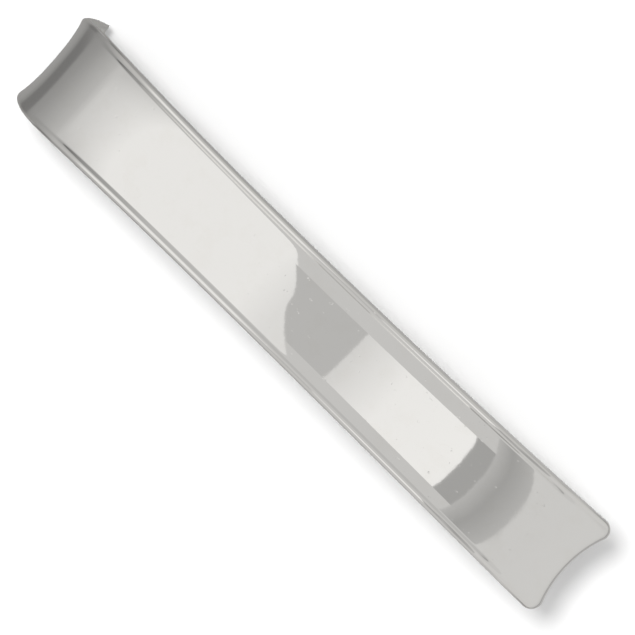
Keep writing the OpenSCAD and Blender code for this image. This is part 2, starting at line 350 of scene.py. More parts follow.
def new_geometry_tree(name, inputs):
    """A geometry tree with a Geometry input and output, and a named number input for each size."""
    tree = bpy.data.node_groups.new(name, "GeometryNodeTree")
    face = tree.interface
    face.new_socket(name="Geometry", in_out="INPUT", socket_type="NodeSocketGeometry")
    for label, value in inputs.items():
        kind = "NodeSocketInt" if isinstance(value, int) else "NodeSocketFloat"
        face.new_socket(name=label, in_out="INPUT", socket_type=kind).default_value = value
    face.new_socket(name="Geometry", in_out="OUTPUT", socket_type="NodeSocketGeometry")
    net = Net(tree)
    given = net.add("NodeGroupInput", out="Geometry")
    return net, given, {label: net.other(given, label) for label in inputs}


def worked(obj, net, geometry, material):
    """Ends the tree, runs it on an object and returns the object with the plain mesh that comes out."""
    tree = net.tree
    real = net.add("GeometryNodeRealizeInstances", Geometry=geometry)
    done = net.add("GeometryNodeSetMaterial", Geometry=real, Material=material)
    net.end("NodeGroupOutput", "Geometry", done)
    modifier = obj.modifiers.new("work", "NODES")
    modifier.node_group = tree
    for item in tree.interface.items_tree:
        if item.in_out == "INPUT" and item.socket_type != "NodeSocketGeometry":
            modifier[item.identifier] = item.default_value
    bpy.context.view_layer.update()
    ready = obj.evaluated_get(bpy.context.evaluated_depsgraph_get())
    mesh = bpy.data.meshes.new_from_object(ready, preserve_all_data_layers=True,
                                           depsgraph=bpy.context.evaluated_depsgraph_get())
    obj.modifiers.remove(modifier)
    if obj.type == "MESH":
        obj.data = mesh
        return obj
    name = obj.name
    bpy.data.objects.remove(obj)
    return to_object(name, mesh)


def fit(obj, node, body, material=None, angle=40):
    """Gives a finished piece its finish and its shading, hides the CAD part it takes the place of, and hangs
    it on the body it rides on.
    """
    if material:
        obj.data.materials.clear()
        obj.data.materials.append(material)
    shade(obj, angle)
    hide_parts(node)
    if body:
        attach(obj, body)


def set_places(net, geometry, x, y, z):
    """Moves every point to x, y and z, in millimetres."""
    place = net.add("ShaderNodeCombineXYZ", X=x * MM, Y=y * MM, Z=z * MM)
    return net.add("GeometryNodeSetPosition", Geometry=geometry, Position=place)


def keep(net, geometry, name, value):
    """Stores a number on every point for the finish to read."""
    return net.add("GeometryNodeStoreNamedAttribute", {"data_type": "FLOAT", "domain": "POINT"},
                   Geometry=geometry, Name=name, Value=value)


def keep_sheet_place(net, geometry, along, across, from_edge, face):
    for name, value in (("along", along), ("across", across), ("from_edge", from_edge), ("outside", face)):
        geometry = keep(net, geometry, name, value)
    return geometry


# ---------------------------------------------------------------- finishes

class Finish(Net):
    """A metal finish. Its patterns are in millimetres."""

    def __init__(self, name):
        self.material = bpy.data.materials.new(name)
        self.material.use_nodes = True
        super().__init__(self.material.node_tree)
        self.tree.nodes.clear()
        self.at = self.scaled(self.add("ShaderNodeTexCoord", out="Object"), (1000, 1000, 1000))

    def scaled(self, vector, scale):
        return self.add("ShaderNodeVectorMath", {"operation": "MULTIPLY"}, s0=vector, s1=scale)

    def attribute(self, name):
        return self.add("ShaderNodeAttribute", {"attribute_name": name}, out="Fac")

    def place(self, x, y, z=0.0):
        return self.add("ShaderNodeCombineXYZ", X=x, Y=y, Z=z)

    def noise(self, vector, scale, detail=3.0, roughness=0.5):
        return self.add("ShaderNodeTexNoise", Vector=vector, Scale=scale, Detail=detail, Roughness=roughness)

    def blend(self, share, first, second):
        """A colour between two. The first may be a wire."""
        first = first if is_wire(first) else (*first, 1)
        return self.add("ShaderNodeMix", {"data_type": "RGBA"}, out=2, s0=share, s6=first, s7=(*second, 1))

    def ramp(self, value, stops):
        return self.add("ShaderNodeValToRGB", {"stops": stops}, Fac=value)

    def finish(self, colour, roughness, height, depth, metallic=1.0):
        """Ends the tree. height is in millimetres, and depth scales it."""
        bump = self.add("ShaderNodeBump", Strength=1.0, Distance=depth * MM, Height=height)
        if not is_wire(colour):
            colour = (*colour, 1)
        surface = self.add("ShaderNodeBsdfPrincipled", Base_Color=colour, Roughness=roughness,
                           Metallic=metallic, Normal=bump)
        self.end("ShaderNodeOutputMaterial", "Surface", surface)
        return self.material


def mirror_silver():
    """Hand-polished silver: hairlines along the bar, soft waviness, a duller inside and faint marks."""
    m = Finish("mirror_silver")
    along, across, edge, outside = (m.attribute(n) for n in ("along", "across", "from_edge", "outside"))
    lines = m.noise(m.place(along * 0.22, across * 14), 1.0, 4.0, 0.62)
    swirls = m.noise(m.place(along * 1.1, across * 1.6, 3.0), 1.0, 2.0)
    marks = m.noise(m.place(along * 0.5, across * 0.55, 7.0), 1.0, 5.0, 0.6)
    smudge = m.ramp(marks, [(0.5, 0.0), (0.66, 1.0)])
    inside = 1 - between(outside * 0.5 + 0.5, 0, 1)
    near_edge = 1 - smooth((edge - 0.1) / 0.7)
    hood = 1 - smooth((along - 4.5) / 5)
    tip = smooth((along - 53) / 7)
    nicks = m.ramp(m.noise(m.place(along * 1.6, across * 2.2, 11.0), 1.0, 2.0), [(0.70, 0.0), (0.73, 1.0)])
    rough = (0.013 + lines * 0.012 + smudge * 0.012 + near_edge * 0.015
             + hood * (0.12 + lines * 0.12) + tip * 0.07 + inside * 0.16)
    colour = m.blend(smudge * 0.5, (0.955, 0.952, 0.945), (0.93, 0.922, 0.905))
    colour = m.blend(near_edge * 0.35 + inside * 0.3, colour, (0.87, 0.86, 0.84))
    height = lines * (0.04 + hood * 1.4 + tip * 0.3 + inside * 1.2) + swirls * 0.2 - nicks * 0.8
    return m.finish(colour, rough, height, 0.0016)


def brushed_silver():
    """Strip silver with a grain along its length, rubbed bright along the edges and over the ribs."""
    m = Finish("brushed_silver")
    along, across, edge = (m.attribute(n) for n in ("along", "across", "from_edge"))
    grain = m.noise(m.place(along * 0.35, across * 22), 1.0, 5.0, 0.7)
    cloud = m.noise(m.place(along * 0.4, across * 0.5, 2.0), 1.0, 3.0)
    worn = 1 - smooth(edge / 0.5)
    rough = between(0.2 + grain * 0.22 + cloud * 0.08 - worn * 0.16, 0.06, 0.6)
    colour = m.blend(grain * 0.5 + cloud * 0.3, (0.83, 0.825, 0.81), (0.92, 0.915, 0.90))
    colour = m.blend(worn * 0.6, colour, (0.95, 0.945, 0.935))
    return m.finish(colour, rough, grain, 0.004)


def tumbled_silver(name, colour_low, colour_high, rough, pits):
    """Barrel-finished silver with fine pits and clouded patches."""
    m = Finish(name)
    fine = m.noise(m.at, 6.0, 5.0, 0.65)
    cloud = m.noise(m.at, 0.8, 3.0)
    scratches = m.noise(m.scaled(m.at, (0.6, 9.0, 9.0)), 1.0, 4.0, 0.6)
    colour = m.blend(cloud * 0.6 + fine * 0.3, colour_low, colour_high)
    return m.finish(colour, between(rough + fine * 0.14 + scratches * 0.1 - 0.08, 0.05, 0.9),
                    fine + scratches * 0.4, pits)


def drawn_metal(name, colour_low, colour_high, rough):
    """Drawn tube or wire: die lines round it and a faint film of oil."""
    m = Finish(name)
    die = m.noise(m.scaled(m.at, (8.0, 1.2, 8.0)), 1.0, 4.0, 0.6)
    film = m.noise(m.at, 1.4, 3.0)
    colour = m.blend(die * 0.5 + film * 0.4, colour_low, colour_high)
    return m.finish(colour, between(rough + die * 0.14 - film * 0.08, 0.05, 0.9), die, 0.003)


SILVER = mirror_silver()
BRUSHED = brushed_silver()
EAR_SILVER = tumbled_silver("brushed_ear_silver", (0.80, 0.795, 0.78), (0.90, 0.895, 0.88), 0.24, 0.003)
TUMBLED = tumbled_silver("tumbled_silver", (0.74, 0.735, 0.72), (0.86, 0.855, 0.84), 0.3, 0.004)
SOLDER = tumbled_silver("silver_solder", (0.62, 0.61, 0.57), (0.78, 0.77, 0.73), 0.38, 0.012)
BRIGHT = tumbled_silver("polished_pin_silver", (0.88, 0.875, 0.86), (0.94, 0.935, 0.925), 0.1, 0.0015)
BRASS = drawn_metal("drawn_brass", (0.72, 0.52, 0.22), (0.86, 0.68, 0.36), 0.2)
SPRING = drawn_metal("spring_wire", (0.30, 0.30, 0.32), (0.52, 0.52, 0.53), 0.26)


# ---------------------------------------------------------------- the bar

def bar_sheet():
    """Tree that dishes the blank, raises its rims, shapes its ends and rolls it along the bar's profile."""
    net, given, size = new_geometry_tree("bar_from_blank", {
        "Sheet thickness": SHEET_T, "Dish depth": DISH_DEPTH, "Rim height": RIM_HEIGHT,
        "Rim width": RIM_WIDTH, "End hollow": END_HOLLOW, "Hood turn in": HOOD_TURN_IN,
        "Hood spread": HOOD_SPREAD})
    sheet = size["Sheet thickness"]
    place = net.add("GeometryNodeInputPosition")
    s, q, face = (net.other(net.add("ShaderNodeSeparateXYZ", Vector=place), c) for c in "XYZ")
    a = abs(q)
    inner = least(a / CORNER_START, 1)
    outer = between((a - CORNER_START) / (1 - CORNER_START), 0, 1)
    end_line = (inner * inner - 1) * size["End hollow"] - (1 - root(1 - outer * outer)) * END_CORNER_R
    share = between((s - FACE_LENGTH + WARP_LENGTH) / WARP_LENGTH, 0, 1)
    x, z, heading = follow(s + share * end_line, *BAR_START, BAR_MOVES)
    plan_x = most(x, HINGE_X)
    to_hood = most(WAIST_X - plan_x, 0) / (WAIST_X - HINGE_X)
    to_tip = most(plan_x - WAIST_X, 0) / (BAR_LENGTH / 2 - WAIST_X)
    past_side = most(heading - math.pi / 2, 0) / math.radians(HOOD_WRAP - 90)
    half = (WAIST_WIDTH / 2 + to_hood * to_hood * HOOD_FLARE + to_tip * to_tip * TIP_FLARE
            - (1 - cosine(between(heading, 0, math.pi / 2))) * size["Hood turn in"]
            + past_side * size["Hood spread"])
    from_edge = (1 - a) * half
    full = rounding(from_edge, sheet / 2) * rounding(least(s, FACE_LENGTH - s), sheet / 2)
    rim = smooth((size["Rim width"] + RIM_BLEND / 2 - from_edge) / RIM_BLEND)
    rim = rim * most(face, 0) * size["Rim height"]
    rim = rim * smooth((s - RIM_FROM) / HOOD_FADE) * smooth((FACE_LENGTH - RIM_TO - s) / TIP_FADE)
    lift = a ** DISH_POWER * size["Dish depth"] - sheet / 2 + full * (face * sheet / 2 + rim)
    x = x - sine(heading) * lift
    z = z + cosine(heading) * lift
    y = q * half
    x = x - smooth((HINGE_X + SKEW_FADE - x) / SKEW_FADE) * y * HOOD_SKEW
    marked = keep_sheet_place(net, given, s, y, least(from_edge, least(s, FACE_LENGTH - s)), face)
    return net, set_places(net, marked, x, y, z)


def rows_for_bar():
    edge = eased(SHEET_T / 2)
    hood, total = BAR_MOVES[0][0], FACE_LENGTH
    return (edge[:-1] + spaced(edge[-1], hood, 0.09)[:-1] + spaced(hood, hood + BAR_MOVES[1][0], 0.16)[:-1]
            + spaced(hood + BAR_MOVES[1][0], total - WARP_LENGTH, 0.30)[:-1]
            + spaced(total - WARP_LENGTH, total - edge[-1], 0.16) + [total - e for e in edge[-2::-1]])


def both_sides(steps, half):
    """Shares of the half width, one edge to the other, from distances in from an edge."""
    low = [-(1 - d / half) for d in steps]
    return low[:-1] + [0.0] + [-q for q in low[-2::-1]]


def columns_for_bar():
    half = WAIST_WIDTH / 2 + 0.1
    steps = (eased(SHEET_T / 2)[:-1] + spaced(SHEET_T / 2, RIM_STEPS_END, 0.03)[:-1]
             + spaced(RIM_STEPS_END, half, 0.15))
    return both_sides(steps, half)


front_bar = worked(blank("front_bar_sheet", rows_for_bar(), columns_for_bar()), *bar_sheet(), SILVER)
fit(front_bar, "front_bar", "front", angle=70)


# ---------------------------------------------------------------- the back arm

def arm_sheet():
    """Tree that trims the blank to the arm's outline, softens its edges and bends it to the arm's profile."""
    net, given, size = new_geometry_tree("arm_from_blank", {
        "Strip thickness": ARM_T, "Strip width": ARM_WIDTH, "Neck width": 2 * (ARM_EAR_Y + EAR_T),
        "Edge radius": ARM_EDGE_R, "Neck bend radius": BEND_R})
    thick, edge_r, bend_r = size["Strip thickness"], size["Edge radius"], size["Neck bend radius"]
    place = net.add("GeometryNodeInputPosition")
    s, q, face = (net.other(net.add("ShaderNodeSeparateXYZ", Vector=place), c) for c in "XYZ")
    tip_r = size["Strip width"] / 2
    neck = size["Neck width"] / 2
    past_neck = smooth((s - (EAR_FOOT - EAR_BACK)) / SHOULDER)
    half = neck + past_neck * (tip_r - neck)
    lean = cos_d(KICK_ANGLE)
    round_from = tip_r / -lean + ARM_LENGTH
    share = between((s - (ARM_LENGTH - ARM_WARP)) / ARM_WARP, 0, 1)
    at_s = s - share * (1 - root(1 - q * q)) * tip_r / lean
    y = q * half
    into_tip = most(at_s - round_from, 0) * lean
    from_side = half - root(into_tip * into_tip + y * y)
    under = (1 - face) / 2
    side_r = edge_r + under * (1 - past_neck) * (bend_r - edge_r)
    cut = most((1 - rounding(from_side, side_r)) * side_r, (1 - rounding(s, edge_r)) * edge_r)
    lift = face * (thick / 2 - cut)
    x, z, heading = follow(at_s, *ARM_LINE, ARM_MOVES)
    marked = keep_sheet_place(net, given, at_s, y, least(from_side, s), face)
    return net, set_places(net, marked, x - sine(heading) * lift, y, z + cosine(heading) * lift)


def rows_for_arm():
    bend, rise, nose = belly, belly + ARM_MOVES[1][0], belly + ARM_MOVES[1][0] + climb
    return (eased(ARM_EDGE_R)[:-1] + spaced(ARM_EDGE_R, 3.6, 0.3)[:-1] + spaced(3.6, 6.0, 0.12)[:-1]
            + spaced(6.0, bend, 0.4)[:-1] + spaced(bend, rise, 0.16)[:-1] + spaced(rise, nose, 0.3)[:-1]
            + spaced(nose, ARM_LENGTH - 0.3, 0.1)[:-1] + [ARM_LENGTH - e for e in eased(0.3, 8)[::-1]])


def columns_for_arm():
    half = ARM_WIDTH / 2
    steps = eased(ARM_EDGE_R)[:-1] + spaced(ARM_EDGE_R, 0.74, 0.06)[:-1] + spaced(0.74, half, 0.2)
    return both_sides(steps, half)


def rib_tree():
    """Tree that lays round-ended ribs across the arm, round the nose and back down its slope."""
    net, _, size = new_geometry_tree("ribs_on_nose", {
        "Count": RIB_COUNT, "First": FIRST_RIB, "Pitch": RIB_PITCH, "Rib radius": RIB_R, "Stand": RIB_HEIGHT,
        "Half length": ARM_WIDTH / 2 - RIB_INSET})
    stock = net.add("GeometryNodeCurvePrimitiveCircle", Resolution=14, Radius=size["Rib radius"] * MM)
    half = size["Half length"] * MM
    line = net.add("GeometryNodeMeshLine", {"mode": "END_POINTS"}, Count=33,
                   Start_Location=net.add("ShaderNodeCombineXYZ", Y=-half),
                   s3=net.add("ShaderNodeCombineXYZ", Y=half * 2))
    y = net.other(net.add("ShaderNodeSeparateXYZ", Vector=net.add("GeometryNodeInputPosition")), "Y")
    eased_y = sine(y / half * (math.pi / 2)) * half
    line = net.add("GeometryNodeSetPosition", Geometry=line,
                   Position=net.add("ShaderNodeCombineXYZ", Y=eased_y))
    rod = net.add("GeometryNodeMeshToCurve", Mesh=line)
    swell = rounding(half - abs(y), size["Rib radius"] * MM)
    rib = net.add("GeometryNodeCurveToMesh", Curve=rod, Profile_Curve=stock, Scale=swell)
    rib = net.add("GeometryNodeMergeByDistance", Geometry=rib, Distance=SAME_POINT * MM)
    spots = net.add("GeometryNodeMeshLine", {"mode": "OFFSET"}, Count=size["Count"], s3=(MM, 0, 0))
    turn = belly + ARM_MOVES[1][0] + climb
    number = net.add("GeometryNodeInputIndex") + size["First"]
    nose_reach = NOSE_R / (NOSE_R + ARM_T / 2)
    step = number * size["Pitch"]
    at_s = turn + least(step, 0) + most(step, 0) * nose_reach
    x, z, heading = follow(at_s, *ARM_LINE, ARM_MOVES)
    lift = size["Stand"] - size["Rib radius"] + ARM_T / 2
    spots = set_places(net, spots, x - sine(heading) * lift, 0, z + cosine(heading) * lift)
    ribs = net.add("GeometryNodeInstanceOnPoints", Points=spots, Instance=rib)
    ribs = keep(net, net.add("GeometryNodeRealizeInstances", Geometry=ribs), "from_edge", RIB_WEAR)
    return net, ribs


def plate(name, outline, holes, thickness, place, bevel=0.06):
    """A flat pressing: an outline with holes, its edges softened, moved by place(u, v, w).
    w is measured from its middle."""
    curve = bpy.data.curves.new(name, "CURVE")
    curve.dimensions, curve.fill_mode = "2D", "BOTH"
    curve.extrude, curve.offset = thickness / 2 - bevel, -bevel
    curve.bevel_depth, curve.bevel_resolution = bevel, 2
    for loop in [outline] + holes:
        spline = curve.splines.new("POLY")
        spline.points.add(len(loop) - 1)
        for point, (u, v) in zip(spline.points, loop):
            point.co = (u, v, 0, 1)
        spline.use_cyclic_u = True
    solid = to_object(name + "_outline", curve)
    mesh = bpy.data.meshes.new_from_object(solid.evaluated_get(bpy.context.evaluated_depsgraph_get()))
    bpy.data.objects.remove(solid)
    for vertex in mesh.vertices:
        vertex.co = Vector(place(*vertex.co)) * MM
    return outward(mesh)


def on_circle(centre, radius, angle):
    return centre[0] + radius * cos_d(angle), centre[1] + radius * sin_d(angle)


def circle(centre, radius, start=0, turn=360, steps=56):
    """Points on a circle. A whole one leaves out its last point."""
    count = steps if abs(turn) == 360 else steps + 1
    return [on_circle(centre, radius, start + turn * i / steps) for i in range(count)]


def rounded(points, radii, steps=8):
    """A closed outline with each corner rounded to its own radius."""
    out = []
    for i, (here, radius) in enumerate(zip(points, radii)):
        here = Vector(here)
        if radius == 0:
            out.append(tuple(here))
            continue
        back = (Vector(points[i - 1]) - here).normalized()
        on = (Vector(points[(i + 1) % len(points)]) - here).normalized()
        half = back.angle(on) / 2
        centre = here + (back + on).normalized() * radius / math.sin(half)
        reach = radius / math.tan(half)
        start, end = here + back * reach - centre, here + on * reach - centre
        for k in range(steps + 1):
            out.append(tuple(centre + start.slerp(end, k / steps).normalized() * radius))
    return out


def by_hinge(x, z):
    return HINGE_X + x, HINGE_Z + z


HINGE = by_hinge(0, 0)
UPPER_HOLE, LOWER_HOLE = by_hinge(4.6, 1.0), by_hinge(4.4, -0.75)
HOOK_HOLE_R = WIRE_R + 0.05


def ear(name, outline, arc_from, arc_turn, bore, hook_hole, side, inner):
    """An ear: an outline closed by an arc round the pin, bored for the pin and perhaps for a hook."""
    holes = [circle(HINGE, bore)]
    if hook_hole:
        holes.append(circle(hook_hole, HOOK_HOLE_R, steps=32))
    middle = side * (inner + EAR_T / 2)
    return plate(name, outline + circle(HINGE, EAR_R, arc_from, arc_turn, 40)[1:-1], holes, EAR_T,
                 lambda u, v, w: (u, middle + w, v))


def arm_ears():
    foot = [by_hinge(0.29, 1.318), by_hinge(5.5, 0.187), (HINGE_X + 7.0, 0.69), (HINGE_X + EAR_FOOT, 0.6),
            (HINGE_X + EAR_FOOT, 0.45), (ARM_START, 0.45), (ARM_START, HINGE_Z - EAR_R), by_hinge(0, -EAR_R)]
    outline = rounded(foot, [0, 1, 0.8, 0, 0, 0, 0.9, 0])
    return joined("arm_ears", [ear("arm_ear", outline, 270, -192.4, PIN_R + 0.04,
                                   LOWER_HOLE if side < 0 else None, side, ARM_EAR_Y) for side in (-1, 1)])


arm_strip = worked(blank("back_arm_strip", rows_for_arm(), columns_for_arm()), *arm_sheet(), BRUSHED)
fit(arm_strip, "back_arm", "back", angle=70)
ribs = worked(to_object("back_arm_ribs", mesh_from("ribs", [(0, 0, 0)], [])), *rib_tree(), BRUSHED)
fit(ribs, "back_arm", "back", angle=70)
fit(to_object("back_arm_ears", arm_ears()), "back_arm", "back", EAR_SILVER)


# ---------------------------------------------------------------- bracket and solder

BASE_FROM, BASE_TO, BASE_T = HINGE_X + 2.7, HINGE_X + 7.7, 0.6
BASE_LEFT, BASE_RIGHT = (BASE_FROM, bar_under(BASE_FROM)), (BASE_TO, bar_under(BASE_TO))
BASE_TILT = math.atan2(BASE_RIGHT[1] - BASE_LEFT[1], BASE_TO - BASE_FROM)
BASE_LENGTH = math.hypot(BASE_RIGHT[1] - BASE_LEFT[1], BASE_TO - BASE_FROM)


def from_base(run, y, up):
    """A place given along, across and above the bracket's tilted base."""
    return (BASE_LEFT[0] + run * math.cos(BASE_TILT) - up * math.sin(BASE_TILT), y,
            BASE_LEFT[1] + run * math.sin(BASE_TILT) + up * math.cos(BASE_TILT))


def bracket():
    half = BRACKET_HALF - 0.003
    top = rounded([(-half, 0), (half, 0), (half, -BASE_T), (-half, -BASE_T)], [BEND_R, BEND_R, 0.04, 0.04])
    base = plate("base", top, [], BASE_LENGTH, lambda u, v, w: from_base(w + BASE_LENGTH / 2, u, v),
                 bevel=0.05)
    low_left, low_right = from_base(0.03, 0, -0.45), from_base(BASE_LENGTH - 0.03, 0, -0.45)
    outline = rounded([by_hinge(-0.95, 0.96), (BASE_LEFT[0] - 0.3, BASE_LEFT[1] - 0.5),
                       (low_left[0], low_left[2]), (low_right[0], low_right[2]),
                       (BASE_TO, HINGE_Z + 1.2), by_hinge(4.9, 0.2), by_hinge(0.52, -1.246)],
                      [0, 0.2, 0, 0, 0.5, 2, 0])
    ears = [ear("bracket_ear", outline, -67.35, -157.9, PIN_R + PRESS_GAP, UPPER_HOLE if side > 0 else None,
                side, BRACKET_EAR_Y) for side in (-1, 1)]
    return joined("bracket", [base] + ears)


def solder_bead(side):
    """Solder drawn into the wedge on one side, hollow-faced, and thinning out past both ends of the base."""
    def under(y):
        return DISH_DEPTH * (y / (WAIST_WIDTH / 2 + HOOD_FLARE)) ** DISH_POWER
    rings = []
    for run in spaced(-0.3, BASE_LENGTH + 0.3, 0.1):
        full = rounding(min(run + 0.3, BASE_LENGTH + 0.3 - run), 0.7)
        swell = full * (1 + 0.09 * math.sin(2.3 * run + side) + 0.05 * math.sin(5.9 * run))
        outer_y = BRACKET_HALF - 0.05 + 0.4 * swell
        outer, foot = (outer_y, under(outer_y) + 0.01), (BRACKET_HALF - 0.04, -0.36 * swell)
        waist = (BRACKET_HALF + 0.03, -0.04)
        face = [tuple(outer[i] * (1 - t) ** 2 + waist[i] * 2 * t * (1 - t) + foot[i] * t * t for i in (0, 1))
                for t in spaced(0, 1, 0.125)]
        buried = [(2.6, -0.2 * full), (1.4, -0.05 * full)] + [(y, under(y) + 0.05) for y in (1.4, 2.2, 3.0)]
        rings.append([from_base(run, side * y, up) for y, up in face + buried])
    return skinned("bead", rings)


def skinned(name, rings):
    """Joins equal closed rings into a solid with flat ends."""
    n = len(rings[0])
    faces = [(i * n + j, i * n + (j + 1) % n, (i + 1) * n + (j + 1) % n, (i + 1) * n + j)
             for i in range(len(rings) - 1) for j in range(n)]
    faces += [tuple(range(n)), tuple(range((len(rings) - 1) * n, len(rings) * n))]
    return outward(mesh_from(name, [p for ring in rings for p in ring], faces))


fit(to_object("hinge_bracket_pressing", bracket()), "hinge_bracket", "front", TUMBLED)
solder = to_object("solder_beads", joined("beads", [solder_bead(side) for side in (-1, 1)]))
fit(solder, "solder_fillets", "front", SOLDER, 55)


# ---------------------------------------------------------------- pin, collar and sleeve

def turned(name, profile, ring=False, steps=72):
    """A shape turned round the pin's axis, from its outline in (y, radius)."""
    points, faces = [], []
    n = len(profile)
    for y, r in profile:
        points += [(x, y, z) for x, z in circle(HINGE, r, steps=steps)]
    for i in range(n if ring else n - 1):
        for k in range(steps):
            a, b = i * steps, (i + 1) % n * steps
            faces.append((a + k, b + k, b + (k + 1) % steps, a + (k + 1) % steps))
    return to_object(name, outward(mesh_from(name, points, faces)))


def pin_outline():
    dome_r = (HEAD_R ** 2 + HEAD_H ** 2) / (2 * HEAD_H)
    face = -BRACKET_HALF - HEAD_H + dome_r
    reach = math.degrees(math.asin(HEAD_R / dome_r))
    dome = [(face - dome_r * cos_d(reach * i / 14), dome_r * sin_d(reach * i / 14)) for i in range(13)]
    rest = [(-BRACKET_HALF - 0.02, HEAD_R), (-BRACKET_HALF, HEAD_R - 0.04), (-BRACKET_HALF, PIN_R)]
    tail = BRACKET_HALF + HEAD_H + 0.12
    end = [(tail - 0.08, PIN_R), (tail - 0.03, PIN_R - 0.03), (tail, PIN_R - 0.12), (tail - 0.01, 0.2),
           (tail - 0.02, 0)]
    return dome + rest + end


def tube_outline(start, end, bore, outside, corners):
    return rounded([(start, bore), (end, bore), (end, outside), (start, outside)], corners)


collar = tube_outline(BRACKET_HALF, BRACKET_HALF + HEAD_H, PIN_R + PRESS_GAP, HEAD_R,
                      [0.01, 0.03, 0.12, 0.04])
sleeve = tube_outline(-SLEEVE_HALF, SLEEVE_HALF, PIN_R + 0.03, SLEEVE_R, [0.05, 0.05, 0.06, 0.06])
fit(turned("hinge_pin_turned", pin_outline()), "hinge_pin", "front", BRIGHT)
fit(turned("pin_collar_turned", collar, ring=True), "pin_collar", "front", BRIGHT)
fit(turned("spring_sleeve_tube", sleeve, ring=True), "spring_sleeve", "front", BRASS)


# ---------------------------------------------------------------- the spring

COIL_R, COIL_HALF, WHOLE_TURNS, HOOK_BEND = 1.15, 1.35, 4, 0.6
LOWER_END_Y, UPPER_END_Y, COIL_STEPS = -2.6, 3.2, 160


def hook(hole, coil_angle, y_coil, y_end):
    """A hook through its ear, and the bend towards the leg that runs on to the coil at an angle."""
    touch = Vector(HINGE) + Vector((cos_d(coil_angle), sin_d(coil_angle))) * COIL_R
    away = (touch - Vector(hole)).normalized()
    out = 1 if y_end > y_coil else -1
    turn_y = y_coil + out * HOOK_BEND
    points = [(hole[0], y_end + (turn_y - y_end) * i / 8, hole[1]) for i in range(8)]
    for i in range(11):
        p = Vector(hole) + away * HOOK_BEND * (1 - cos_d(9 * i))
        points.append((p[0], y_coil + out * HOOK_BEND * (1 - sin_d(9 * i)), p[1]))
    bend_end, last = Vector(points[-1]), Vector((touch[0], y_coil, touch[1]))
    return points + [tuple(bend_end.lerp(last, i / 10)) for i in range(1, 10)]


def spring_path():
    """The wire's centre line, hook to hook."""
    ends = []
    for hole, way in ((LOWER_HOLE, 1), (UPPER_HOLE, -1)):
        off = Vector(hole) - Vector(HINGE)
        ends.append(math.degrees(math.atan2(off[1], off[0]) + way * math.acos(COIL_R / off.length)))
    start, end = ends[0], ends[1] + 360 * WHOLE_TURNS
    turns = circle(HINGE, COIL_R, start, end - start, COIL_STEPS)
    coil = [(x, COIL_HALF * (2 * i / COIL_STEPS - 1), z) for i, (x, z) in enumerate(turns)]
    lower = hook(LOWER_HOLE, start, -COIL_HALF, LOWER_END_Y)
    upper = hook(UPPER_HOLE, end, COIL_HALF, UPPER_END_Y)
    return lower + coil + upper[::-1]


def wire_tree():
    """Tree that draws round wire along a path and softens its two cut ends."""
    net, given, size = new_geometry_tree("wire_on_path", {"Wire radius": WIRE_R, "End softening": 0.06})
    run = net.add("GeometryNodeSplineParameter", out="Length") / MM
    total = net.add("GeometryNodeSplineLength", out="Length") / MM
    from_end = least(run, total - run)
    soft = size["End softening"]
    swell = 1 - (1 - rounding(from_end, soft)) * soft / size["Wire radius"]
    path = keep(net, net.add("GeometryNodeSetCurveNormal", Curve=given), "along", run)
    section = net.add("GeometryNodeCurvePrimitiveCircle", Resolution=20, Radius=size["Wire radius"] * MM)
    wire = net.add("GeometryNodeCurveToMesh", Curve=path, Profile_Curve=section, Scale=swell, Fill_Caps=True)
    return net, wire


def wire_object(name, points):
    curve = bpy.data.curves.new(name, "CURVE")
    curve.dimensions = "3D"
    spline = curve.splines.new("POLY")
    spline.points.add(len(points) - 1)
    for point, place in zip(spline.points, points):
        point.co = (*(Vector(place) * MM), 1)
    return to_object(name, curve)


spring = worked(wire_object("torsion_spring_wire", spring_path()), *wire_tree(), SPRING)
fit(spring, "torsion_spring", None, angle=50)
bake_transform(spring)


# ---------------------------------------------------------------- camera

LOOK_FROM = Vector((0.05, 0.14, 1)).normalized()
LOOK_AT = Vector((0.8, 0.3, 6.3)) * MM
TURN = 44.3
VIEW_WIDTH = 48.5
LENS, SENSOR = 250, 36
NEAREST, FURTHEST = 10, 10000


def look_down():
    """Camera above the clip, turned so that the hinge lies upper left and the tip lower right."""
    data = bpy.data.cameras.new("camera")
    data.lens, data.sensor_width = LENS, SENSOR
    camera = to_object("camera", data)
    along = (Vector((1, 0, 0)) - LOOK_FROM * LOOK_FROM.x).normalized()
    across = LOOK_FROM.cross(along)
    right = along * cos_d(TURN) + across * sin_d(TURN)
    up = across * cos_d(TURN) - along * sin_d(TURN)
    spot = LOOK_AT + LOOK_FROM * (VIEW_WIDTH * MM * LENS / SENSOR)
    camera.matrix_world = Matrix.Translation(spot) @ Matrix((right, up, LOOK_FROM)).transposed().to_4x4()
    data.clip_start, data.clip_end = NEAREST * MM, FURTHEST * MM
    bpy.context.scene.camera = camera


look_down()
bpy.context.scene.view_settings.view_transform = "Standard"


# ---------------------------------------------------------------- floor, lights and the glowing cards that paint the silver's reflections

CARD_Z, UPPER_CARD_Z, CEILING_Z, RIG_Y = 400, 401, 406, -50
LEFT_LENGTH, FLAG_LENGTH, RIGHT_LENGTH, STRIP_LENGTH, SHADE_LENGTH, END_LENGTH = 150, 30, 60, 10, 20, 300
WIDE_HALF, NARROW_HALF, FLAG_SLANT, CARD_CORNER_R = 200, 90, 10, 60
WALL_X, WALL_Y, WALL_FOOT, WALL_TOP, ROOM, CEILING_X = 500, 880, -20, 405, 1500, 5000
FLOOR_Z, MIRRORED_Z = -0.02, -0.01
WALL_FADE, CEILING_FADE, FLOOR_FADE = (-320, 320), (-400, -100), (-60, 20)
LAMP_SPOT, LAMP_SIZE, LAMP_WATTS = (-160, 90, 550), 220, 2.0
